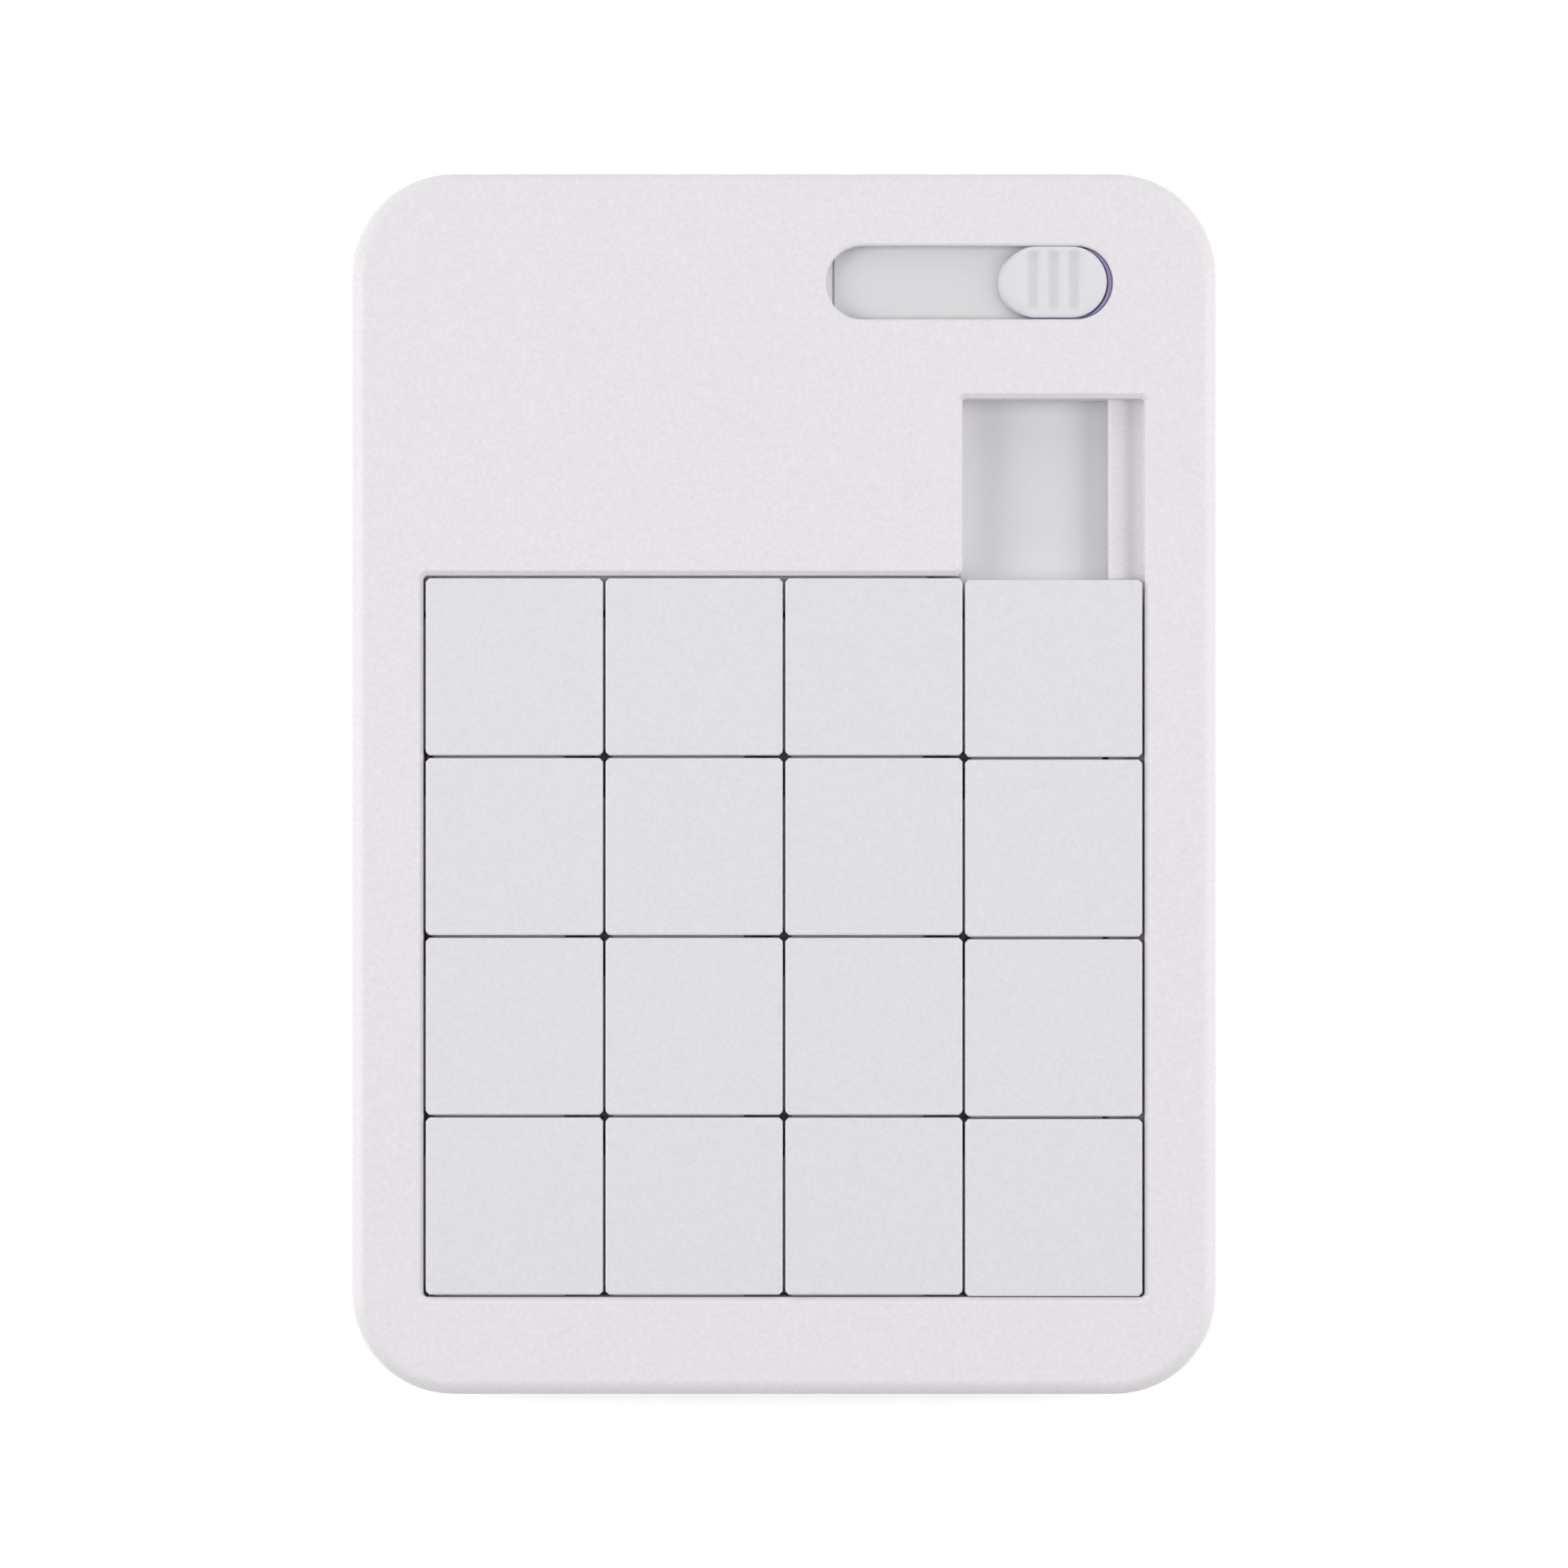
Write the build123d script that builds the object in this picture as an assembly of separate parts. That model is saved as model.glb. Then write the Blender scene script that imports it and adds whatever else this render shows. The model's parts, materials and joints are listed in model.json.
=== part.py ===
"""Sliding block puzzle: a flat white case with sixteen interlocking tiles in a four by four field,
one empty parking bay above the last column, and a thumb slider that locks the tiles.

Millimetres. +Z up, out of the face. +Y towards the slider end. The origin is the centre of the underside."""

from build123d import *

import os

# Case
case_height = 11.0
case_corner_radius = 10.0
top_edge_radius = 1.5
bottom_edge_chamfer = 0.7
wall = 1.6
panel_thickness = 2.2
back_thickness = 1.5
parting_height = 2.5
parting_bevel = 0.2
lip_thickness = 1.0
lip_height = 1.1
lip_clearance = 0.1
inner_wall = 1.5
opening_edge_chamfer = 0.5
opening_corner_chamfer = 0.25
panel_corner_chamfer = 0.5

# Tiles and the field they fill
rows = 4
columns = 4
tile_side = 17.4
tile_gap = 0.25
tile_corner_chamfer = 0.35
tile_edge_chamfer = 0.12
tile_foot_chamfer = 0.25
tile_float = 0.05
last_column_drop = 0.15

# Margins of the face round the field, the bay and the slot
side_margin = 7.075
bottom_margin = 9.6
bay_to_slot = 7.8
slot_to_end = 7.15
slot_to_side = 10.2

# Tongues on each tile's left and lower sides run in grooves on the next tile's right and upper sides
tongue_reach = 3.5
tongue_thickness = 1.4
tongue_clearance = 0.15
tongue_edge_chamfer = 0.25
tongue_end_chamfer = 0.6
tongue_end_gap = 0.6
tongue_tip_clearance = 0.2

# The fixed rail's edge is a bead, and behind it the rail slopes down to the wall
rail_bead_width = 0.7
rail_slope_width = 1.4
rail_drop = 0.65

# Coring pockets and the locking channel on a tile's underside
core_wall = 1.5
core_roof = 1.8
channel_width = 3.2
channel_depth = 1.4
channel_rib = 1.0

# Parking bay above the last column
bay_end_gap = 0.0
bay_stop_gap = 0.05

# Bed that the tiles slide on
bed_top = 5.0
bed_thickness = 1.5
bed_overlap = 0.9
bed_edge_clearance = 0.3

# Slot for the thumb slider, and the knob in it
slot_length = 28.2
slot_width = 7.2
slot_web = 1.0
slot_edge_chamfer = 0.2
knob_length = 10.4
knob_side_gap = 0.1
knob_end_gap = 0.6
knob_stop_gap = 0.3
knob_edge_chamfer = 0.6
knob_grooves = 3
knob_groove_pitch = 2.0
knob_groove_width = 1.0
knob_groove_depth = 0.3
knob_groove_length = 5.1
knob_boss_length = 5.6
knob_boss_width = 2.6
knob_boss_height = 0.4
knob_boss_clearance = 0.05

# Carrier under the knob
wing_thickness = 0.6
wing_clearance = 0.1
wing_length = 9.0
wing_overlap_low = 2.55
wing_overlap_high = 1.5
neck_length = 4.4
carrier_overhang = 0.75
collar_gap = 0.15
collar_clearance = 0.07
collar_height = 0.65
collar_span = 3.3
leg_length = 6.0
leg_thickness = 1.6
leg_inset = 0.2
tenon_length = 4.4
tenon_thickness = 1.0
tenon_barb = 0.3
tenon_barb_height = 0.35
tenon_clearance = 0.05

# Track plate under the slot
track_thickness = 1.0
track_margin = 2.5
track_margin_right = 1.0
recess_clearance = 0.3
track_pad_clearance = 0.15
clip_length = 3.0
clip_thickness = 0.9
clip_hook = 0.6
clip_hook_height = 0.6
clip_inset = 5.0
clip_clearance = 0.05

# Lock bar under the bed
bar_thickness = 1.2
bar_float = 0.5
bar_width = 6.0
bar_foot_width = 4.8
bar_head_margin = 2.3
bar_corner_chamfer = 0.8
tooth_length = 3.4
tooth_width = 2.4
tooth_setback = 0.475
tooth_clearance_above = 0.3
tooth_chamfer = 0.3
bar_side_clearance = 0.25

# Case screws
screw_inset = 5.0
screw_shank_radius = 0.98
screw_length = 6.0
screw_head_radius = 1.7
screw_head_height = 1.2
screw_head_depth = 1.6
screw_head_clearance = 0.15
pilot_clearance = 0.02
pilot_spare_depth = 0.4
through_clearance = 0.17
front_boss_radius = 2.0
back_boss_radius = 3.0
back_boss_height = 1.5
boss_lip_clearance = 0.3
boss_bed_clearance = 0.3

# Ribs and locating pegs
rib_thickness = 1.0
panel_rib_height = 2.2
panel_rib_count = 3
panel_rib_pitch = 13.0
runner_height = 0.4
back_rib_pitch_x = 16.0
back_rib_pitch_y = 14.0
locating_peg_radius = 1.0
locating_peg_clearance = 0.1

# How far a cutter runs past what it cuts, and the tolerance for finding edges by height
over = 1.0
edge_tolerance = 0.01

# Places worked out from the sizes above
pitch = tile_side + tile_gap
field_width = columns * pitch + tile_gap
field_length = rows * pitch + tile_gap
case_width = field_width + 2 * side_margin
bay_length = tile_side + bay_end_gap
case_length = bottom_margin + field_length + bay_length + bay_to_slot + slot_width + slot_to_end
panel_bottom = case_height - panel_thickness
field_left = -field_width / 2
field_right = field_width / 2
field_bottom = -case_length / 2 + bottom_margin
field_top = field_bottom + field_length
tongue_top = panel_bottom - tongue_clearance
tongue_bottom = tongue_top - tongue_thickness
groove_depth = tongue_reach + tongue_clearance
groove_bottom = tongue_bottom - tongue_clearance
bay_left = field_right - tile_side - 2 * tile_gap
bay_top = field_top + bay_length
rim_width = tongue_reach - tile_gap + tongue_tip_clearance
bay_tongue_left = bay_left - rim_width
bed_bottom = bed_top - bed_thickness
bed_left = field_left - rim_width
bed_right = field_right + bed_overlap
bed_low = field_bottom - rim_width
bed_high = bay_top + inner_wall
tile_bottom = bed_top + tile_float
slot_right = case_width / 2 - slot_to_side
slot_centre_x = slot_right - slot_length / 2
slot_centre_y = case_length / 2 - slot_to_end - slot_width / 2
knob_width = slot_width - 2 * knob_side_gap
knob_x = slot_right - knob_end_gap - knob_length / 2
recess_top = case_height - slot_web
wing_top = recess_top - wing_clearance
wing_bottom = wing_top - wing_thickness
slot_floor = wing_bottom - wing_clearance
lock_travel = slot_length - knob_length - knob_end_gap - knob_stop_gap
column_travel = bay_top - field_top + tile_gap + last_column_drop - bay_stop_gap
wing_low_y = slot_centre_y - slot_width / 2 - wing_overlap_low
wing_high_y = slot_centre_y + slot_width / 2 + wing_overlap_high
leg_y = wing_low_y + leg_inset + leg_thickness / 2
bar_bottom = back_thickness + bar_float
bar_top = bar_bottom + bar_thickness
channel_y = -groove_depth / 2
lock_row_y = field_top - tile_gap - tile_side / 2 - last_column_drop
tooth_y = lock_row_y + channel_y
tooth_left = field_right + tooth_setback
tooth_right = tooth_left + tooth_length
tooth_top = tile_bottom + channel_depth - tooth_clearance_above
bar_foot_low = tooth_y - bar_foot_width / 2
bar_foot_high = tooth_y + bar_foot_width / 2
bar_left = knob_x - bar_width / 2
bar_right = knob_x + bar_width / 2
bar_high = leg_y + bar_head_margin
boss_foot = back_thickness + back_boss_height
screw_x = case_width / 2 - screw_inset
screw_y = case_length / 2 - screw_inset
screw_places = [(sx * screw_x, sy * screw_y) for sx in (-1, 1) for sy in (-1, 1)]


def block(x0, x1, y0, y1, z0, z1):
    """A box between two corners."""
    size = Box(x1 - x0, y1 - y0, z1 - z0)
    return size.moved(Location(((x0 + x1) / 2, (y0 + y1) / 2, (z0 + z1) / 2)))


def post(x, y, radius, z0, z1):
    """An upright cylinder."""
    return Cylinder(radius, z1 - z0).moved(Location((x, y, (z0 + z1) / 2)))


def rounded_slab(inset, z0, z1):
    """The case outline, drawn in by inset, between two heights."""
    outline = RectangleRounded(
        case_width - 2 * inset, case_length - 2 * inset, case_corner_radius - inset
    )
    return extrude(Plane.XY.offset(z0) * outline, z1 - z0)


def obround(x, y, length, width, z0, z1):
    """A slot shape along X with round ends."""
    outline = Plane.XY.offset(z0) * Location((x, y)) * SlotOverall(length, width)
    return extrude(outline, z1 - z0)


def edges_at(shape, z):
    """The edges that lie flat at one height."""
    return shape.edges().filter_by_position(Axis.Z, z - edge_tolerance, z + edge_tolerance)


def field_opening():
    """The way through the panel for the field and the bay, with broken corners."""
    low = panel_bottom - over
    high = case_height + over
    opening = block(field_left, field_right, field_bottom, field_top, low, high)
    opening += block(bay_left, field_right, field_top - over, bay_top, low, high)
    corners = opening.edges().filter_by(Axis.Z)
    inner_corner = corners.sort_by_distance((bay_left, field_top, panel_bottom))[0]
    outer_corners = [corner for corner in corners if not corner.is_same(inner_corner)]
    opening = chamfer(outer_corners, opening_corner_chamfer)
    corners = opening.edges().filter_by(Axis.Z)
    inner_corner = corners.sort_by_distance((bay_left, field_top, panel_bottom))[0]
    return chamfer(inner_corner, panel_corner_chamfer)


def slider_recess():
    """The pocket in the panel's underside that the carrier's wings run in."""
    left = knob_x - lock_travel - wing_length / 2 - recess_clearance
    right = knob_x + knob_length / 2 + carrier_overhang + recess_clearance
    low = wing_low_y - recess_clearance
    high = wing_high_y + recess_clearance
    return left, right, low, high


def track_clips():
    """Four hooks under the panel that the track plate snaps into."""
    left, right, low, high = slider_recess()
    top = panel_bottom
    hook_top = top - track_thickness - clip_clearance
    clips = Part()
    for x in (left + clip_inset, right - clip_inset):
        for edge, out in ((low - track_margin, -1), (high + track_margin, 1)):
            x0 = x - clip_length / 2
            x1 = x + clip_length / 2
            near = edge + out * clip_clearance
            far = near + out * clip_thickness
            tip = near - out * clip_hook
            clips += block(x0, x1, min(near, far), max(near, far), hook_top - clip_hook_height, top)
            clips += block(x0, x1, min(tip, far), max(tip, far), hook_top - clip_hook_height, hook_top)
    return clips


def front_shell():
    """Face panel and side walls, with the rails that enter the tiles' grooves."""
    shell = rounded_slab(0, parting_height, case_height)
    shell = fillet(edges_at(shell, case_height), top_edge_radius)
    shell = chamfer(edges_at(shell, parting_height), parting_bevel)
    shell -= rounded_slab(wall, parting_height - over, panel_bottom)
    shell += guide_walls() + panel_ribs() + screw_bosses()
    shell -= field_opening()
    shell += rails()
    left, right, low, high = slider_recess()
    shell -= block(left, right, low, high, panel_bottom - over, recess_top)
    shell -= obround(
        slot_centre_x, slot_centre_y, slot_length, slot_width, recess_top - over, case_height + over
    )
    shell = soften_openings(shell)
    shell += track_clips()
    pilot_top = screw_head_depth + screw_length + pilot_spare_depth
    for x, y in screw_places:
        shell -= post(x, y, screw_shank_radius + pilot_clearance, boss_foot - over, pilot_top)
    return shell


def guide_walls():
    """Walls under the panel that bear on the bed beside the field and round the bay."""
    outer_right = field_right + inner_wall
    outer_top = bay_top + inner_wall
    walls = block(field_right, outer_right, bed_low, outer_top, bed_top, panel_bottom)
    walls += block(bay_tongue_left, outer_right, bay_top, outer_top, bed_top, panel_bottom)
    walls += block(
        bed_left, bay_tongue_left, field_top, field_top + inner_wall, bed_top, panel_bottom
    )
    window = channel_width / 2
    walls -= block(
        field_right - over, outer_right + over, tooth_y - window, tooth_y + window,
        bed_top - over, bed_top + channel_depth,
    )
    return walls


def rails():
    """The fixed tongues: one down the right side, one along the top of the first three columns."""
    edge = field_right - tongue_reach
    right = block(edge, field_right + over, field_bottom, bay_top + over, tongue_bottom, tongue_top)
    right = chamfer(right.edges().filter_by(Axis.Y).sort_by(Axis.X)[:2], tongue_edge_chamfer)
    right -= rail_slope(edge + rail_bead_width)
    low = field_top - tongue_reach
    top = block(field_left, bay_tongue_left, low, field_top + over, tongue_bottom, tongue_top)
    top = chamfer(top.edges().filter_by(Axis.X).sort_by(Axis.Y)[:2], tongue_edge_chamfer)
    return right + top


def rail_slope(x):
    """What is taken off the right rail's top, from its bead to the wall."""
    low = tongue_top - rail_drop
    far = field_right + 2 * over
    corners = [
        (x, tongue_top), (x + rail_slope_width, low), (far, low), (far, tongue_top + over),
        (x, tongue_top + over),
    ]
    return extrude(Plane.XZ * Polygon(*corners, align=None), case_length, both=True)


def soften_openings(shell):
    """Breaks the top edges of the field, the bay and the slider slot."""
    top = edges_at(shell, case_height)
    slot_edges = [
        edge for edge in top
        if abs(edge.center().Y - slot_centre_y) < slot_width / 2 + edge_tolerance
        and abs(edge.center().X - slot_centre_x) < slot_length / 2 + edge_tolerance
    ]
    shell = chamfer(slot_edges, slot_edge_chamfer)
    top = edges_at(shell, case_height)
    field_edges = [
        edge for edge in top
        if abs(edge.center().X) < field_right + edge_tolerance
        and field_bottom - edge_tolerance < edge.center().Y < bay_top + edge_tolerance
    ]
    return chamfer(field_edges, opening_edge_chamfer)


def panel_ribs():
    """Stiffening ribs under the blank part of the panel."""
    ribs = Part()
    for i in range(panel_rib_count):
        x = -rib_thickness - i * panel_rib_pitch
        ribs += block(
            x - rib_thickness / 2, x + rib_thickness / 2, field_top + inner_wall / 2,
            case_length / 2 - wall / 2, panel_bottom - panel_rib_height, panel_bottom,
        )
    return ribs


def screw_bosses():
    """Bosses hanging from the panel for the case screws."""
    bosses = Part()
    for x, y in screw_places:
        bosses += post(x, y, front_boss_radius, boss_foot, panel_bottom)
    return bosses


def back_cover():
    """Flat back with a lap lip, screw bosses, ribs that carry the bed and guides for the lock bar."""
    lip_outer = wall + lip_clearance
    lip_inner = lip_outer + lip_thickness
    cover = rounded_slab(0, 0, parting_height)
    cover = chamfer(edges_at(cover, 0), bottom_edge_chamfer)
    cover = chamfer(edges_at(cover, parting_height), parting_bevel)
    lip = rounded_slab(lip_outer, parting_height, parting_height + lip_height)
    for x, y in screw_places:
        clear = front_boss_radius + boss_lip_clearance
        lip -= post(x, y, clear, boss_foot, parting_height + lip_height)
    cover += lip
    cover -= rounded_slab(lip_inner, back_thickness, parting_height + lip_height)
    inside = rounded_slab(lip_outer, back_thickness, boss_foot)
    for x, y in screw_places:
        cover += post(x, y, back_boss_radius, back_thickness, boss_foot) & inside
    cover += bed_ribs() + bar_guides() + locating_pegs(0)
    for x, y in screw_places:
        cover -= post(x, y, screw_head_radius + screw_head_clearance, -over, screw_head_depth)
        cover -= post(x, y, screw_shank_radius + through_clearance, 0, boss_foot + over)
    return cover


def bed_ribs():
    """Ribs on the back that the bed rests on, clear of the lock bar's sweep."""
    half = rib_thickness / 2
    edge = case_width / 2 - wall - lip_clearance - lip_thickness
    guide_y = bar_foot_low - bar_side_clearance - half
    low = -screw_y + back_boss_radius
    ribs = Part()
    y = guide_y
    while y > low:
        ribs += block(bed_left, bed_right, y - half, y + half, back_thickness, bed_bottom)
        y -= back_rib_pitch_y
    x = knob_x
    while x > bed_left:
        ribs += block(x - half, x + half, low, guide_y, back_thickness, bed_bottom)
        x -= back_rib_pitch_x
    sweep_left = bar_left - lock_travel - bar_side_clearance - rib_thickness
    ribs += block(
        sweep_left - half, sweep_left + half, guide_y, field_top + inner_wall,
        back_thickness, bed_bottom,
    )
    ribs += block(
        bed_left, sweep_left, field_top - half, field_top + half, back_thickness, bed_bottom
    )
    side_x = (bar_right + edge) / 2
    side_low = bar_foot_high + bar_side_clearance
    ribs += block(side_x - half, side_x + half, side_low, bed_high, back_thickness, bed_bottom)
    return ribs


def bar_guides():
    """Low runners under the lock bar, and the ribs that keep it square."""
    edge = case_width / 2 - wall - lip_clearance - lip_thickness / 2
    left = bar_left - lock_travel
    half = rib_thickness / 2
    guides = Part()
    for y in (tooth_y, (tooth_y + leg_y) / 2, leg_y - bar_width):
        right = edge if y == tooth_y else bar_right
        runner_top = back_thickness + runner_height
        guides += block(left, right, y - half, y + half, back_thickness, runner_top)
    high = bar_high + bar_side_clearance
    guides += block(left, bar_right, high, high + rib_thickness, back_thickness, bar_top)
    foot_guide = bar_foot_high + bar_side_clearance
    guides += block(
        bar_right + bar_corner_chamfer + bar_side_clearance, edge, foot_guide, foot_guide + rib_thickness,
        back_thickness, bar_top,
    )
    return guides


def locating_pegs(clearance):
    """Pegs on the back that place the bed, or with a clearance, the holes for them."""
    places = [
        (bed_left + rim_width / 2, field_top - rim_width),
        (field_right - 2 * rim_width, bed_low + rim_width / 2),
    ]
    pegs = Part()
    for x, y in places:
        top = bed_top + clearance
        pegs += post(x, y, locating_peg_radius + clearance, back_thickness, top)
    return pegs


def tile_bed():
    """The floor under the tiles, with raised rims that close the grooves on the left and lower sides."""
    foot_high = field_top + inner_wall
    bed = block(bed_left, bed_right, bed_low, foot_high, bed_bottom, bed_top)
    bed += block(bay_tongue_left, bed_right, field_top, bed_high, bed_bottom, bed_top)
    bed += block(bed_left, field_left, bed_low, field_top, bed_top, groove_bottom)
    bed += block(
        bed_left, field_right - bed_edge_clearance, bed_low, field_bottom, bed_top, groove_bottom
    )
    bed += block(bay_tongue_left, bay_left, field_top, bay_top, bed_top, groove_bottom)
    slot_end = tooth_left - lock_travel - bed_edge_clearance
    half = channel_width / 2
    bed -= block(
        slot_end, bed_right + over, tooth_y - half, tooth_y + half, bed_bottom - over, bed_top + over
    )
    bed -= locating_pegs(locating_peg_clearance)
    for x, y in screw_places:
        bed -= post(x, y, front_boss_radius + boss_bed_clearance, bed_bottom - over, panel_bottom)
    return bed


def tile():
    """One tile about its own centre: cap, grooves on two sides, tongues on the other two."""
    half = tile_side / 2
    body = block(-half, half, -half, half, tile_bottom, case_height)
    body = chamfer(body.edges().filter_by(Axis.Z), tile_corner_chamfer)
    body = chamfer(edges_at(body, case_height), tile_edge_chamfer)
    body = chamfer(edges_at(body, tile_bottom), tile_foot_chamfer)
    inner = half - groove_depth
    past = half + over
    body -= block(inner, past, -past, past, groove_bottom, panel_bottom)
    body -= block(-past, past, inner, past, groove_bottom, panel_bottom)
    body += tile_tongue()
    body += tile_tongue().mirror(Plane.XZ).rotate(Axis.Z, 90)
    core_left = -half + core_wall
    core_right = inner - core_wall
    rib_edge = channel_width / 2 + channel_rib
    roof = case_height - core_roof
    for low, high in ((core_left, channel_y - rib_edge), (channel_y + rib_edge, core_right)):
        body -= block(core_left, core_right, low, high, tile_bottom - over, roof)
    channel = channel_width / 2
    body -= block(
        -past, past, channel_y - channel, channel_y + channel,
        tile_bottom - over, tile_bottom + channel_depth,
    )
    return body


def tile_tongue():
    """The tongue on a tile's left side, cut short where the groove across the top passes."""
    half = tile_side / 2
    high = half - groove_depth - tongue_clearance
    low = -half + tongue_end_gap
    tongue = block(-half - tongue_reach, -half + over, low, high, tongue_bottom, tongue_top)
    ends = tongue.edges().filter_by(Axis.Z).sort_by(Axis.X)[:2]
    tongue = chamfer(ends, tongue_end_chamfer)
    return chamfer(tongue.edges().filter_by(Axis.Y).sort_by(Axis.X)[:2], tongue_edge_chamfer)


def tile_place(row, column):
    """Centre of a tile at rest; the last column sits lower within its play."""
    x = field_left + tile_gap + tile_side / 2 + column * pitch
    y = field_top - tile_gap - tile_side / 2 - row * pitch
    if column == columns - 1:
        y -= last_column_drop
    return x, y


def slider_knob():
    """The thumb piece, flush with the panel, with three shallow grip grooves."""
    knob = obround(knob_x, slot_centre_y, knob_length, knob_width, wing_top, case_height)
    knob = chamfer(edges_at(knob, case_height), knob_edge_chamfer)
    groove_radius = (knob_groove_width / 2) ** 2 / (2 * knob_groove_depth) + knob_groove_depth / 2
    for i in range(knob_grooves):
        x = knob_x + (i - (knob_grooves - 1) / 2) * knob_groove_pitch
        z = case_height - knob_groove_depth + groove_radius
        cutter = Cylinder(groove_radius, knob_groove_length - 2 * knob_groove_depth, rotation=(90, 0, 0))
        knob -= cutter.moved(Location((x, slot_centre_y, z)))
    clear = 2 * knob_boss_clearance
    knob -= obround(
        knob_x, slot_centre_y, knob_boss_length + clear, knob_boss_width + clear,
        wing_top - over, wing_top + knob_boss_height + knob_boss_clearance,
    )
    return knob


def slider_carrier():
    """The coloured carrier under the knob: wings behind the panel, and a leg to the lock bar."""
    body_length = knob_length - knob_side_gap + carrier_overhang
    body_x = knob_x + (knob_side_gap + carrier_overhang) / 2
    carrier = obround(body_x, slot_centre_y, body_length, knob_width, wing_bottom, wing_top)
    carrier += block(
        knob_x - neck_length / 2, knob_x + neck_length / 2, wing_low_y, wing_high_y,
        wing_bottom, wing_top,
    )
    half = wing_length / 2
    under_low = slot_centre_y - slot_width / 2 - recess_clearance
    under_high = slot_centre_y + slot_width / 2 + recess_clearance
    carrier += block(knob_x - half, knob_x + half, wing_low_y, under_low, wing_bottom, wing_top)
    carrier += block(knob_x - half, knob_x + half, under_high, wing_high_y, wing_bottom, wing_top)
    carrier += obround(
        knob_x, slot_centre_y, knob_boss_length, knob_boss_width, wing_top, wing_top + knob_boss_height
    )
    carrier += carrier_collar()
    carrier += block(
        knob_x - leg_length / 2, knob_x + leg_length / 2, leg_y - leg_thickness / 2,
        leg_y + leg_thickness / 2, bar_top, wing_bottom,
    )
    carrier += tenon(0, bar_bottom, bar_top)
    carrier += tenon(tenon_barb, bar_bottom - tenon_barb_height, bar_bottom)
    return carrier


def carrier_collar():
    """The coloured crescent that stands up beside the knob's right end."""
    top = wing_top + collar_height
    right = slot_right - collar_clearance
    collar = obround(right - knob_length / 2, slot_centre_y, knob_length, knob_width, wing_top, top)
    grown = 2 * collar_gap
    collar -= obround(
        knob_x, slot_centre_y, knob_length + grown, knob_width + grown, wing_top - over, top + over
    )
    side = knob_width / 2 + over
    start = knob_x + collar_span
    return collar & block(
        start, slot_right, slot_centre_y - side, slot_centre_y + side, wing_top, top
    )


def tenon(grown, z0, z1):
    """The leg's tenon through the lock bar, grown all round for its barb or its hole."""
    half_length = tenon_length / 2 + grown
    half_thickness = tenon_thickness / 2 + grown
    return block(
        knob_x - half_length, knob_x + half_length, leg_y - half_thickness, leg_y + half_thickness, z0, z1
    )


def slider_track():
    """The plate behind the slot, whose raised pad is the slot's floor and carries the wings."""
    left, right, low, high = slider_recess()
    top = panel_bottom
    plate = block(
        left - track_margin, right + track_margin_right, low - track_margin, high + track_margin,
        top - track_thickness, top,
    )
    slit_half = leg_length / 2 + recess_clearance
    slit_high = leg_y + leg_thickness / 2 + recess_clearance
    plate += block(
        left + track_pad_clearance, right - track_pad_clearance, slit_high, high - track_pad_clearance,
        top, slot_floor,
    )
    plate -= block(
        knob_x - lock_travel - slit_half, knob_x + slit_half,
        leg_y - leg_thickness / 2 - recess_clearance, slit_high, top - track_thickness - over, top + over,
    )
    return plate


def lock_bar():
    """The flat bar under the bed, with the tooth that runs into the tile's channel."""
    bar = block(bar_left, bar_right, bar_foot_low, bar_high, bar_bottom, bar_top)
    bar += block(bar_left, tooth_right, bar_foot_low, bar_foot_high, bar_bottom, bar_top)
    bar = chamfer(bar.edges().filter_by(Axis.Z), bar_corner_chamfer)
    half = tooth_width / 2
    tooth = block(tooth_left, tooth_right, tooth_y - half, tooth_y + half, bar_bottom, tooth_top)
    tooth = chamfer(edges_at(tooth, tooth_top), tooth_chamfer)
    bar += tooth
    return bar - tenon(tenon_clearance, bar_bottom - over, bar_top + over)


def case_screws():
    """Self-tapping screws, driven from the back."""
    pattern = post(0, 0, screw_head_radius, screw_head_depth - screw_head_height, screw_head_depth)
    pattern += post(0, 0, screw_shank_radius, screw_head_depth, screw_head_depth + screw_length)
    return Compound(children=[pattern.solid().moved(Location((x, y, 0))) for x, y in screw_places])


def main():
    os.makedirs("parts", exist_ok=True)
    nodes = {
        "front_shell": front_shell(),
        "back_cover": back_cover(),
        "tile_bed": tile_bed(),
        "slider_knob": slider_knob(),
        "slider_carrier": slider_carrier(),
        "slider_track": slider_track(),
        "lock_bar": lock_bar(),
        "case_screws": case_screws(),
    }
    pattern = tile()
    for row in range(rows):
        for column in range(columns):
            x, y = tile_place(row, column)
            nodes[f"tile_{row * columns + column + 1:02d}"] = pattern.moved(Location((x, y, 0)))
    for name, shape in nodes.items():
        export_step(shape, f"parts/{name}.step")
    print("lock travel", round(lock_travel, 3), "column travel", round(column_travel, 3))


main()
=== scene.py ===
"""Sliding block puzzle, lying face up on a white table and seen from straight above."""

import json
import math

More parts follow.
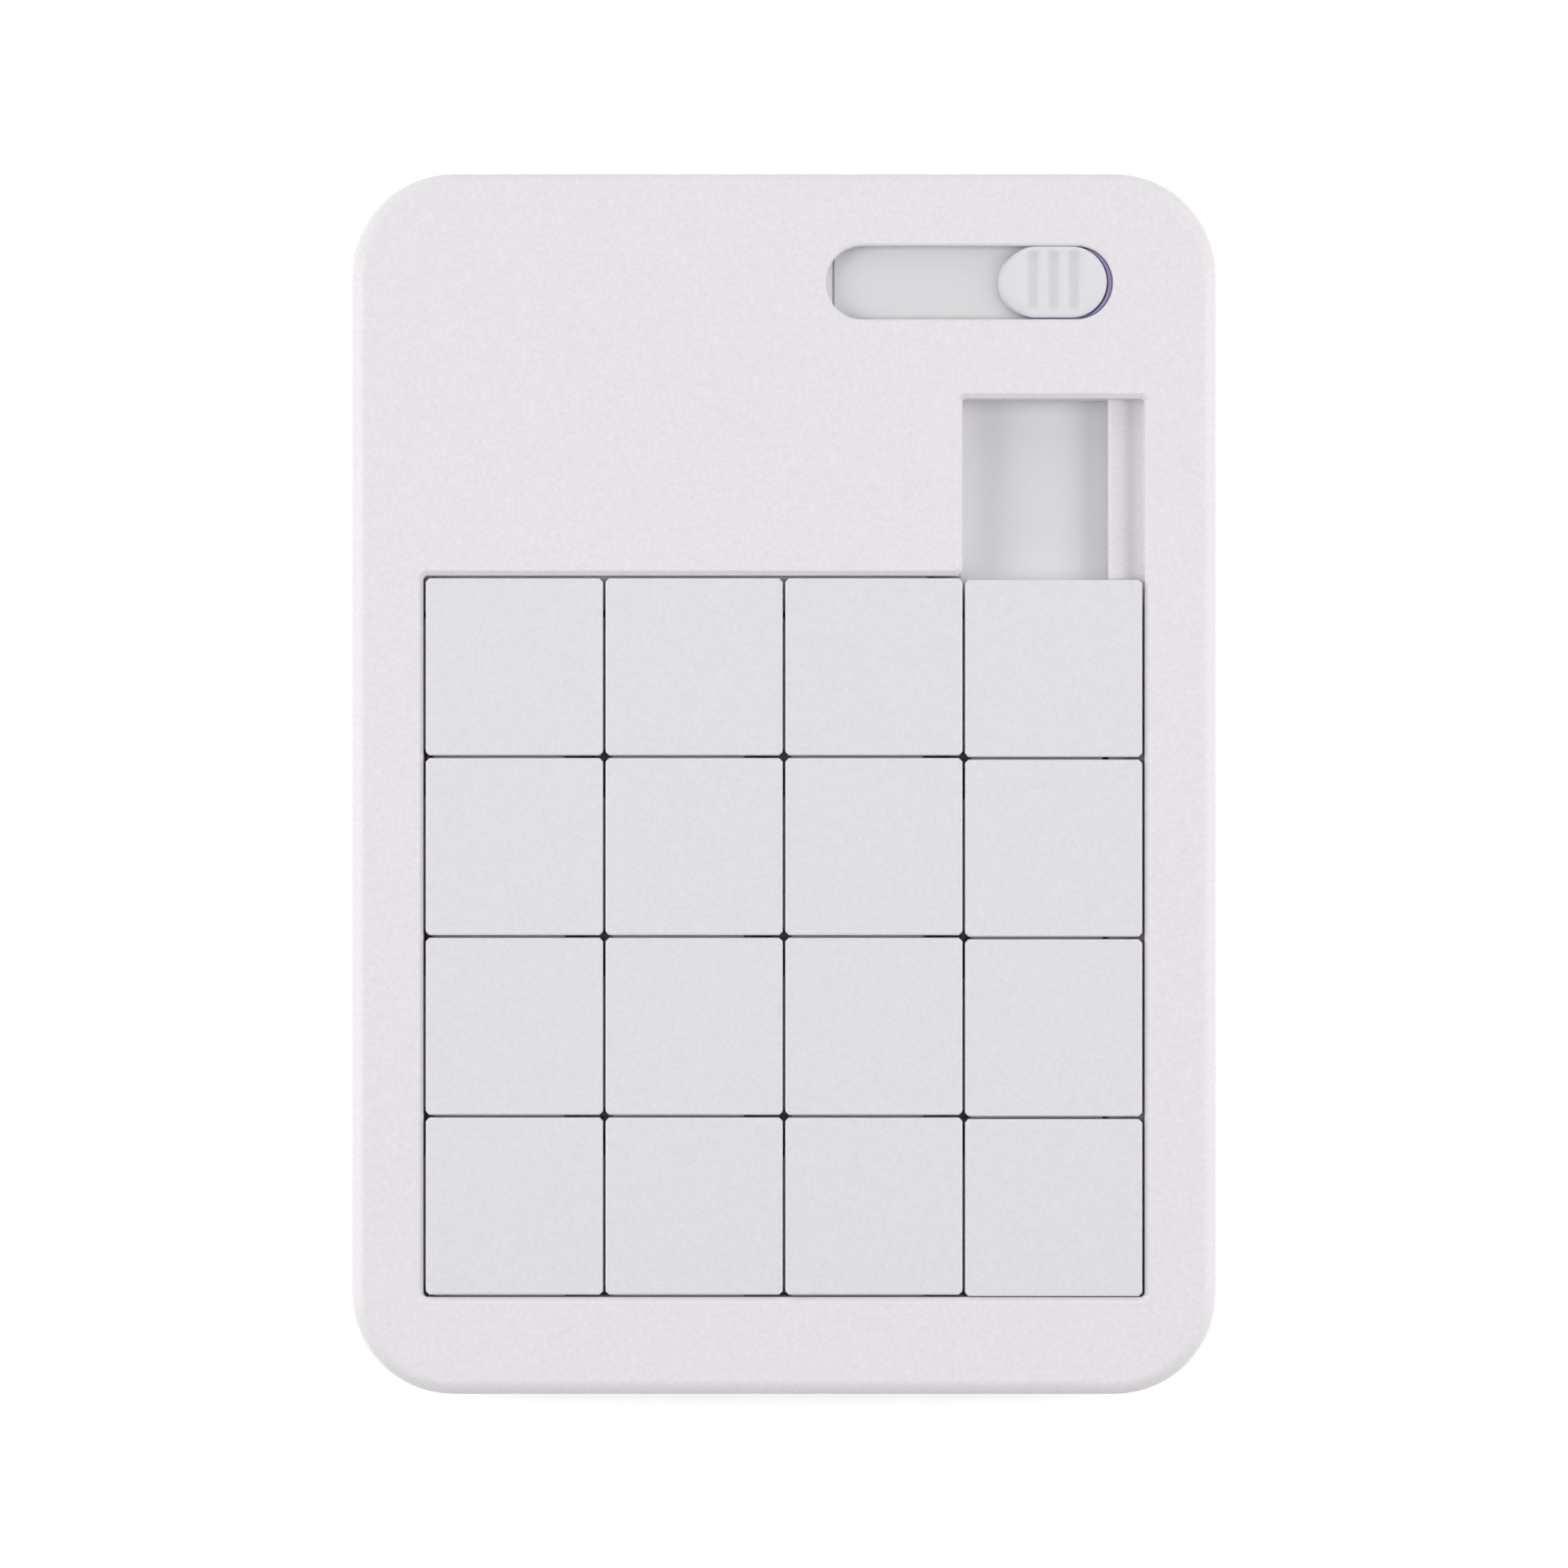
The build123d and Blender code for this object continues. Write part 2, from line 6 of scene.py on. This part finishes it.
import bpy
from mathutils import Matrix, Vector


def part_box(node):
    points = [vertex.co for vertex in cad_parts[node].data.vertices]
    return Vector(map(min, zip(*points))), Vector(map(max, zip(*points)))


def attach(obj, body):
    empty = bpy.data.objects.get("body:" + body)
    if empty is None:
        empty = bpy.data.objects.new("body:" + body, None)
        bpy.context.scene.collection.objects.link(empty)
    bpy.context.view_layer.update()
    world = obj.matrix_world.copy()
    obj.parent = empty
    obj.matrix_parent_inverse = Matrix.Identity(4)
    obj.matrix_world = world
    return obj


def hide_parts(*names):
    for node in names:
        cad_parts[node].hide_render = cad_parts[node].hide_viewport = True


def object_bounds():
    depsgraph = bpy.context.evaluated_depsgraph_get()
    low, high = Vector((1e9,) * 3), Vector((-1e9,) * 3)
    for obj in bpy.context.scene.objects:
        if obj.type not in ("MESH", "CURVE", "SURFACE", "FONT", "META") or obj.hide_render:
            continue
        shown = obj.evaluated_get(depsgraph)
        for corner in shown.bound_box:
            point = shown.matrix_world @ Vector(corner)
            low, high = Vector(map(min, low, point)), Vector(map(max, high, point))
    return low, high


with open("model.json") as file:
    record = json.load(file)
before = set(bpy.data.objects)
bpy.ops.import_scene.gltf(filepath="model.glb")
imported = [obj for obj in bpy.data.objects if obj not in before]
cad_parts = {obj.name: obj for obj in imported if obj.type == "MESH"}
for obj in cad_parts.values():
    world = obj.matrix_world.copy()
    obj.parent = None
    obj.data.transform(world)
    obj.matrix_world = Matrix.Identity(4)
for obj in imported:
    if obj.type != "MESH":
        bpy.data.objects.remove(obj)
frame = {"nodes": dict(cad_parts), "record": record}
cad_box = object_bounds()

# The photograph: a square of 1920 pixels, in which the case is 1058 pixels wide
IMAGE_SIDE = 1920
CASE_PIXELS = 1058
CAMERA_HEIGHT = 0.75
CAMERA_CLIP = 0.01
SENSOR = 36.0

# Where the case's widest outline lies, below the rounding of its top edge
TOP_ROUNDING = 0.0015

# Floor, a hair below the case's underside so that the two never lie in one plane
FLOOR_SIDE = 1.0
FLOOR_HEIGHT = -0.00005
FLOOR_COLOUR = (0.86, 0.86, 0.87)
FLOOR_GLOW = 0.42

# Lights: name, where it is, its size across and along, its power in watts
LIGHTS = (
    ("overhead", (0.0, 0.12, 1.00), (0.40, 0.40), 0.84),
    ("key_top", (0.0, 0.90, 0.70), (1.20, 0.80), 2.00),
    ("high_left", (-0.65, 0.08, 0.65), (0.45, 0.60), 1.38),
    ("high_right", (0.65, 0.08, 0.65), (0.45, 0.60), 1.19),
    ("low_left", (-0.50, 0.0, 0.30), (0.20, 0.60), 1.38),
    ("low_right", (0.50, 0.0, 0.30), (0.20, 0.60), 1.30),
)
LIGHT_COLOUR = (1.0, 0.99, 0.99)
LIGHT_TARGET = (0.0, 0.0, 0.008)

# World: a soft ring of white round the table, which fades with this power of the height, and leans
# towards the slider end
WORLD_COLOUR = (0.99, 0.99, 1.0)
WORLD_STRENGTH = 0.62
WORLD_FADE = 2.0
WORLD_LEAN = 0.08

# Surfaces: base colour, roughness, size of the grain in metres, its depth in metres, its tint
FINISHES = {
    "shell_white": ((0.795, 0.772, 0.800), 0.44, 0.00036, 0.000014, 0.040),
    "tile_white": ((0.748, 0.741, 0.781), 0.44, 0.00036, 0.000013, 0.035),
    "bed_white": ((0.832, 0.828, 0.850), 0.50, 0.00030, 0.000004, 0.010),
    "track_white": ((0.715, 0.713, 0.728), 0.50, 0.00030, 0.000004, 0.010),
    "knob_white": ((0.695, 0.695, 0.712), 0.42, 0.00030, 0.000002, 0.006),
    "carrier_violet": ((0.335, 0.285, 0.565), 0.42, 0.00030, 0.000003, 0.020),
    "screw_steel": ((0.560, 0.555, 0.545), 0.34, 0.00012, 0.000003, 0.060),
}
METAL_SLOT = "screw_steel"
SURFACE_IOR = 1.50

# The grain's noises: a fine one for colour and relief, and a broad one, that many times its size,
# for the gloss
FINE_DETAIL = 3.0
BROAD_DETAIL = 2.0
BROAD_TIMES = 60
NOISE_ROUGHNESS = 0.6
NOISE_RANGE = (0.3, 0.7)
GLOSS_SPREAD = 0.03

# Rounding of the sharp edges, in metres, by material slot
EDGE_ROUNDING = {
    "shell_white": 0.00010,
    "tile_white": 0.00009,
    "bed_white": 0.00008,
    "track_white": 0.00008,
    "knob_white": 0.00020,
    "carrier_violet": 0.00008,
    "screw_steel": 0.00004,
}
EDGE_ANGLE = math.radians(28)
EDGE_SEGMENTS = 3
WELD = 1e-6
FLAT = math.radians(0.4)
NORMAL_WEIGHT = 100

# Points round the rings that the new pieces are skinned over, and the angle that stays sharp there
ARC_STEPS = 64
STRAIGHT_STEPS = 28
ROUND_STEPS = 12
SCREW_POINTS = 96
CREASE = math.radians(35)

# Thumb knob: how far in and how deep its top edge rounds off at its left and right ends and on the
# sides towards the case's upper and lower ends
KNOB_LEFT = (0.0016, 0.00102)
KNOB_RIGHT = (0.0006, 0.00025)
KNOB_UPPER = (0.0004, 0.00025)
KNOB_LOWER = (0.0010, 0.00040)

# The distances from its middle between which a side's rounding turns into an end's, and the width
# over which the lower side's turns into the upper side's
KNOB_ENDS = (0.0018, 0.0052)
KNOB_BLEND = 0.0030

# Its shift towards the slot's upper wall, the bevel round its foot, the step between the even rings
# on its top, and the least half width of the last ring, which the cap closes
KNOB_PLAY = 0.00006
KNOB_FOOT = 0.00005
KNOB_RING_STEP = 0.00016
KNOB_CORE = 0.00010

# The lip at its left end, which slopes down over the carrier's end to just above the slot's floor:
# how far out and down its tip is, and how far out its underside starts
LIP_REACH = 0.00024
LIP_DROP = 0.00062
LIP_PLAY = 0.00002

# Its grip grooves: each slopes down from its half width, over its edge, to a flat bottom
KNOB_GROOVES = 3
GROOVE_PITCH = 0.0020
GROOVE_HALF_WIDTH = 0.0009
GROOVE_EDGE = 0.0006
GROOVE_DEPTH = 0.00054
GROOVE_LENGTH = 0.0056

# The socket under it
SOCKET_LENGTH = 0.0057
SOCKET_WIDTH = 0.0027
SOCKET_DEPTH = 0.00042

# Case screws: how far in from the case's sides they stand, and the heights of the head's face, of
# the shoulder under the head and of the tip
SCREW_INSET = 0.0050
SCREW_FACE = 0.0004
SCREW_SHOULDER = 0.0016
SCREW_TIP = 0.0076
SCREW_HEAD_RADIUS = 0.0017
SCREW_SHANK_RADIUS = 0.00098

# The cross recess in a head, which narrows towards its bottom
CROSS_REACH = 0.00105
CROSS_HALF_WIDTH = 0.00026
CROSS_DEPTH = 0.00075
CROSS_TAPER = 0.55


class Nodes:
    """A short way to add nodes to a tree and link them."""

    def __init__(self, tree):
        self.tree = tree
        self.tree.nodes.clear()

    def add(self, kind, **settings):
        node = self.tree.nodes.new(kind)
        for name, value in settings.items():
            setattr(node, name, value)
        return node

    def link(self, out, into):
        self.tree.links.new(out, into)


def noise(nodes, place, size, detail):
    """Noise whose features are about one size across."""
    node = nodes.add("ShaderNodeTexNoise")
    node.inputs["Scale"].default_value = 1.0 / size
    node.inputs["Detail"].default_value = detail
    node.inputs["Roughness"].default_value = NOISE_ROUGHNESS
    nodes.link(place.outputs["Object"], node.inputs["Vector"])
    return node


def spread(nodes, source, low, high):
    """Maps a noise's useful range onto low to high."""
    node = nodes.add("ShaderNodeMapRange")
    node.inputs["From Min"].default_value = NOISE_RANGE[0]
    node.inputs["From Max"].default_value = NOISE_RANGE[1]
    node.inputs["To Min"].default_value = low
    node.inputs["To Max"].default_value = high
    nodes.link(source.outputs["Fac"], node.inputs["Value"])
    return node.outputs["Result"]


def surface(slot):
    """A moulded or machined surface with a fine grain in its colour, gloss and relief."""
    colour, roughness, grain, depth, tint = FINISHES[slot]
    material = bpy.data.materials.new(slot)
    material.use_nodes = True
    nodes = Nodes(material.node_tree)
    output = nodes.add("ShaderNodeOutputMaterial")
    shader = nodes.add("ShaderNodeBsdfPrincipled")
    nodes.link(shader.outputs["BSDF"], output.inputs["Surface"])
    shader.inputs["Metallic"].default_value = 1.0 if slot == METAL_SLOT else 0.0
    shader.inputs["IOR"].default_value = SURFACE_IOR

    place = nodes.add("ShaderNodeTexCoord")
    fine = noise(nodes, place, grain, FINE_DETAIL)
    broad = noise(nodes, place, grain * BROAD_TIMES, BROAD_DETAIL)

    shade = nodes.add("ShaderNodeMix", data_type="RGBA")
    shade.inputs["A"].default_value = (*[c * (1 - tint) for c in colour], 1.0)
    shade.inputs["B"].default_value = (*[min(1.0, c * (1 + tint)) for c in colour], 1.0)
    nodes.link(spread(nodes, fine, 0.0, 1.0), shade.inputs["Factor"])
    nodes.link(shade.outputs["Result"], shader.inputs["Base Color"])

    gloss = spread(nodes, broad, roughness - GLOSS_SPREAD, roughness + GLOSS_SPREAD)
    nodes.link(gloss, shader.inputs["Roughness"])

    relief = nodes.add("ShaderNodeBump")
    relief.inputs["Strength"].default_value = 1.0
    relief.inputs["Distance"].default_value = depth
    nodes.link(fine.outputs["Fac"], relief.inputs["Height"])
    nodes.link(relief.outputs["Normal"], shader.inputs["Normal"])
    return material


def soften_edges(node, width):
    """Rounds a CAD node's sharp edges and keeps its flat faces flat, as a mould leaves them."""
    weld = node.modifiers.new("weld", "WELD")
    weld.merge_threshold = WELD
    flat = node.modifiers.new("flat", "DECIMATE")
    flat.decimate_type = "DISSOLVE"
    flat.angle_limit = FLAT
    flat.delimit = {"NORMAL"}
    bevel = node.modifiers.new("rounding", "BEVEL")
    bevel.limit_method = "ANGLE"
    bevel.angle_limit = EDGE_ANGLE
    bevel.width = width
    bevel.segments = EDGE_SEGMENTS
    bevel.use_clamp_overlap = True
    normals = node.modifiers.new("normals", "WEIGHTED_NORMAL")
    normals.keep_sharp = False
    normals.weight = NORMAL_WEIGHT


def dress_nodes():
    """Gives each CAD node the finish of its slot and softens its edges."""
    slots = {part["node"]: part["material_slot"] for part in frame["record"]["subparts"]}
    finishes = {slot: surface(slot) for slot in FINISHES}
    for name, node in frame["nodes"].items():
        node.data.materials.clear()
        node.data.materials.append(finishes[slots[name]])
        soften_edges(node, EDGE_ROUNDING[slots[name]])


def dress(piece, slot, body, node):
    """Gives a new piece its finish and its body, and hides the CAD node that it stands for."""
    piece.data.materials.append(bpy.data.materials[slot])
    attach(piece, body)
    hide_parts(node)


def skin(name, rings, top_cap):
    """A closed mesh through rings of equal length, from the underside up and in over the top."""
    count = len(rings[0])
    points = [point for ring in rings for point in ring]
    faces = [tuple(reversed(range(count)))]
    for r in range(len(rings) - 1):
        for i in range(count):
            j = (i + 1) % count
            faces.append((r * count + i, r * count + j, (r + 1) * count + j, (r + 1) * count + i))
    last = (len(rings) - 1) * count
    faces += [tuple(last + i for i in face) for face in top_cap]
    mesh = bpy.data.meshes.new(name)
    mesh.from_pydata(points, [], faces)
    mesh.shade_smooth()
    mesh.set_sharp_from_angle(angle=CREASE)
    piece = bpy.data.objects.new(name, mesh)
    bpy.context.scene.collection.objects.link(piece)
    return piece


def obround_ring(centre, length, width, height):
    """Points round an obround along X, as many for every size of it, counterclockwise from above."""
    radius = width / 2
    half = (length - width) / 2
    ring = []
    for side in (1, -1):
        for i in range(STRAIGHT_STEPS):
            along = side * (half - 2 * half * i / STRAIGHT_STEPS)
            ring.append(Vector((centre.x + along, centre.y + side * radius, height)))
        for i in range(ARC_STEPS):
            turn = side * math.pi / 2 + math.pi * i / ARC_STEPS
            across = -side * half + radius * math.cos(turn)
            ring.append(Vector((centre.x + across, centre.y + radius * math.sin(turn), height)))
    return ring


def obround_cap(count):
    """Faces straight across a slim obround, so that its middle line keeps its dips."""
    mirror = 2 * STRAIGHT_STEPS + ARC_STEPS
    faces = [(i, i + 1, mirror - i - 1, mirror - i) for i in range(STRAIGHT_STEPS)]
    faces.append(tuple(range(STRAIGHT_STEPS, STRAIGHT_STEPS + ARC_STEPS + 1)))
    faces.append(tuple(range(mirror, count)) + (0,))
    return faces


def ease(value):
    """Rises smoothly from 0 to 1 as value does, and stays there on both sides."""
    value = min(1.0, max(0.0, value))
    return value * value * (3 - 2 * value)


def blend(first, second, share):
    """Each value of a pair, a share of the way from the first pair to the second."""
    return [a + (b - a) * share for a, b in zip(first, second)]


def groove_depth(x, y):
    """How far the grip grooves dip into the knob's top, at a point measured from its middle."""
    end = ease((GROOVE_LENGTH / 2 - abs(y)) / GROOVE_HALF_WIDTH + 0.5)
    depth = 0.0
    for i in range(KNOB_GROOVES):
        off = abs(x - (i - (KNOB_GROOVES - 1) / 2) * GROOVE_PITCH)
        depth += GROOVE_DEPTH * ease((GROOVE_HALF_WIDTH - off) / GROOVE_EDGE) * end
    return depth


def edge_drop(x, y, inset):
    """How far the knob's top lies below its highest level, at a distance in from its outline."""
    near, far = KNOB_ENDS
    side = blend(KNOB_LOWER, KNOB_UPPER, ease(0.5 + y / KNOB_BLEND))
    end = KNOB_LEFT if x < 0 else KNOB_RIGHT
    reach, depth = blend(side, end, ease((abs(x) - near) / (far - near)))
    across = max(0.0, 1 - inset / reach)
    return depth * (1 - math.sqrt(1 - across * across))


def left_lip(ring, centre, reach):
    """Draws a ring's left end down and outwards, as the foot of the lip."""
    near, far = KNOB_ENDS
    for point in ring:
        share = ease((centre.x - point.x - near) / (far - near))
        point.x -= reach * share
        point.z -= LIP_DROP * share
    return ring


def knob_insets(width):
    """How far in from the outline each ring on the knob's top lies: dense at the rim, then even."""
    reach = KNOB_LEFT[0]
    insets = [reach * (1 - math.cos(math.pi / 2 * i / ROUND_STEPS)) for i in range(ROUND_STEPS + 1)]
    while width / 2 - insets[-1] > KNOB_CORE + KNOB_RING_STEP:
        insets.append(insets[-1] + KNOB_RING_STEP)
    return insets


def thumb_knob():
    """The white pad that the thumb pushes, in the CAD knob's place and by the slot's upper wall."""
    low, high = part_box("slider_knob")
    centre = (low + high) / 2
    centre.y += KNOB_PLAY
    length = high.x - low.x
    width = high.y - low.y
    underside = obround_ring(centre, length - KNOB_FOOT, width - KNOB_FOOT, low.z)
    tip = obround_ring(centre, length, width, low.z + KNOB_FOOT / 2)
    rings = [
        obround_ring(centre, SOCKET_LENGTH, SOCKET_WIDTH, low.z + SOCKET_DEPTH),
        obround_ring(centre, SOCKET_LENGTH, SOCKET_WIDTH, low.z),
        obround_ring(centre, length - 2 * KNOB_FOOT, width - 2 * KNOB_FOOT, low.z),
        left_lip(underside, centre, LIP_PLAY),
        left_lip(tip, centre, LIP_REACH),
        obround_ring(centre, length, width, low.z + KNOB_FOOT),
    ]
    for inset in knob_insets(width):
        ring = obround_ring(centre, length - 2 * inset, width - 2 * inset, high.z)
        for point in ring:
            off = point - centre
            point.z -= max(edge_drop(off.x, off.y, inset), groove_depth(off.x, off.y))
        rings.append(ring)
    knob = skin("thumb_knob", rings, obround_cap(len(rings[0])))
    dress(knob, "knob_white", "lock_slider", "slider_knob")


def cross_ring(x, y, size, height):
    """The outline of a cross recess, narrowed by size."""
    ring = []
    for i in range(SCREW_POINTS):
        turn = 2 * math.pi * i / SCREW_POINTS
        off = abs((turn + math.pi / 4) % (math.pi / 2) - math.pi / 4)
        reach = CROSS_REACH / math.cos(off)
        if off > 0:
            reach = min(reach, CROSS_HALF_WIDTH / math.sin(off))
        spot = (x + size * reach * math.cos(turn), y + size * reach * math.sin(turn), height)
        ring.append(Vector(spot))
    return ring


def round_ring(x, y, radius, height):
    """A circle of points with as many points as a cross recess."""
    turns = [2 * math.pi * i / SCREW_POINTS for i in range(SCREW_POINTS)]
    return [Vector((x + radius * math.cos(t), y + radius * math.sin(t), height)) for t in turns]


def case_screw(number, x, y):
    """A pan-head screw driven up into the case from its back."""
    crown = (SCREW_SHOULDER - SCREW_FACE) / 2
    rings = [
        cross_ring(x, y, CROSS_TAPER, SCREW_FACE + CROSS_DEPTH),
        cross_ring(x, y, 1.0, SCREW_FACE),
    ]
    for i in range(ROUND_STEPS + 1):
        turn = math.pi / 2 * i / ROUND_STEPS
        radius = SCREW_HEAD_RADIUS - crown * (1 - math.sin(turn))
        rings.append(round_ring(x, y, radius, SCREW_FACE + crown * (1 - math.cos(turn))))
    rings.append(round_ring(x, y, SCREW_HEAD_RADIUS, SCREW_SHOULDER))
    rings.append(round_ring(x, y, SCREW_SHANK_RADIUS, SCREW_SHOULDER))
    rings.append(round_ring(x, y, SCREW_SHANK_RADIUS, SCREW_TIP))
    screw = skin(f"case_screw_{number}", rings, [tuple(range(SCREW_POINTS))])
    dress(screw, "screw_steel", "case", "case_screws")


def case_screws():
    """The four screws, one near each corner of the case."""
    low, high = cad_box
    columns = (low.x + SCREW_INSET, high.x - SCREW_INSET)
    rows = (low.y + SCREW_INSET, high.y - SCREW_INSET)
    places = [(x, y) for x in columns for y in rows]
    for number, (x, y) in enumerate(places, start=1):
        case_screw(number, x, y)


def arithmetic(nodes, operation, first, second):
    """One calculation with two values, each a socket or a number."""
    node = nodes.add("ShaderNodeMath", operation=operation)
    for slot, value in enumerate((first, second)):
        if isinstance(value, float):
            node.inputs[slot].default_value = value
        else:
            nodes.link(value, node.inputs[slot])
    return node.outputs["Value"]


def seen_or_mirrored(nodes, strength):
    """A strength for camera, glossy and transmission rays, and none for the rest."""
    path = nodes.add("ShaderNodeLightPath").outputs
    glossy = arithmetic(nodes, "MAXIMUM", path["Is Camera Ray"], path["Is Glossy Ray"])
    either = arithmetic(nodes, "MAXIMUM", glossy, path["Is Transmission Ray"])
    return arithmetic(nodes, "MULTIPLY", either, strength)


def white_floor():
    """A white table that takes the object's shadow and glows to the camera and in reflections."""
    bpy.ops.mesh.primitive_plane_add(size=FLOOR_SIDE, location=(0.0, 0.0, FLOOR_HEIGHT))
    floor = bpy.context.object
    floor.name = "floor"
    material = bpy.data.materials.new("floor")
    material.use_nodes = True
    nodes = Nodes(material.node_tree)
    output = nodes.add("ShaderNodeOutputMaterial")
    both = nodes.add("ShaderNodeAddShader")
    matte = nodes.add("ShaderNodeBsdfDiffuse")
    matte.inputs["Color"].default_value = (*FLOOR_COLOUR, 1.0)
    glow = nodes.add("ShaderNodeEmission")
    nodes.link(seen_or_mirrored(nodes, FLOOR_GLOW), glow.inputs["Strength"])
    nodes.link(matte.outputs["BSDF"], both.inputs[0])
    nodes.link(glow.outputs["Emission"], both.inputs[1])
    nodes.link(both.outputs["Shader"], output.inputs["Surface"])
    floor.data.materials.append(material)


def ring_of_light(nodes):
    """The world's strength by direction: full at the horizon, none overhead, with its lean."""
    place = nodes.add("ShaderNodeTexCoord")
    parts = nodes.add("ShaderNodeSeparateXYZ")
    nodes.link(place.outputs["Generated"], parts.inputs["Vector"])
    height = arithmetic(nodes, "POWER", parts.outputs["Z"], WORLD_FADE)
    level = arithmetic(nodes, "SUBTRACT", 1.0, height)
    lean = arithmetic(nodes, "MULTIPLY", parts.outputs["Y"], WORLD_LEAN)
    tilt = arithmetic(nodes, "ADD", lean, 1.0)
    even = arithmetic(nodes, "MULTIPLY", level, tilt)
    return arithmetic(nodes, "MULTIPLY", even, WORLD_STRENGTH)


def white_world():
    """White to the camera, and a soft fill for the object."""
    world = bpy.data.worlds.new("studio")
    bpy.context.scene.world = world
    world.use_nodes = True
    nodes = Nodes(world.node_tree)
    output = nodes.add("ShaderNodeOutputWorld")
    fill = nodes.add("ShaderNodeBackground")
    fill.inputs["Color"].default_value = (*WORLD_COLOUR, 1.0)
    nodes.link(ring_of_light(nodes), fill.inputs["Strength"])
    white = nodes.add("ShaderNodeBackground")
    white.inputs["Color"].default_value = (1.0, 1.0, 1.0, 1.0)
    path = nodes.add("ShaderNodeLightPath")
    mix = nodes.add("ShaderNodeMixShader")
    nodes.link(path.outputs["Is Camera Ray"], mix.inputs["Fac"])
    nodes.link(fill.outputs["Background"], mix.inputs[1])
    nodes.link(white.outputs["Background"], mix.inputs[2])
    nodes.link(mix.outputs["Shader"], output.inputs["Surface"])


def soft_lights():
    """Softboxes overhead, beyond the slider end, and both high and low at the two sides."""
    for name, place, size, power in LIGHTS:
        light = bpy.data.lights.new(name, "AREA")
        light.shape = "RECTANGLE"
        light.size, light.size_y = size
        light.energy = power
        light.color = LIGHT_COLOUR
        lamp = bpy.data.objects.new(name, light)
        bpy.context.scene.collection.objects.link(lamp)
        lamp.location = place
        aim = Vector(LIGHT_TARGET) - Vector(place)
        lamp.rotation_euler = aim.to_track_quat("-Z", "Y").to_euler()


def camera_above():
    """Straight above the middle of the case, at the scale of the photograph."""
    low, high = cad_box
    data = bpy.data.cameras.new("camera")
    camera = bpy.data.objects.new("camera", data)
    bpy.context.scene.collection.objects.link(camera)
    camera.location = ((low.x + high.x) / 2, (low.y + high.y) / 2, CAMERA_HEIGHT)
    across = (high.x - low.x) * IMAGE_SIDE / CASE_PIXELS
    data.sensor_width = SENSOR
    data.lens = SENSOR * (CAMERA_HEIGHT - high.z + TOP_ROUNDING) / across
    data.clip_start = CAMERA_CLIP
    bpy.context.scene.camera = camera


dress_nodes()
thumb_knob()
case_screws()
white_floor()
white_world()
soft_lights()
camera_above()
bpy.context.scene.view_settings.view_transform = "Standard"
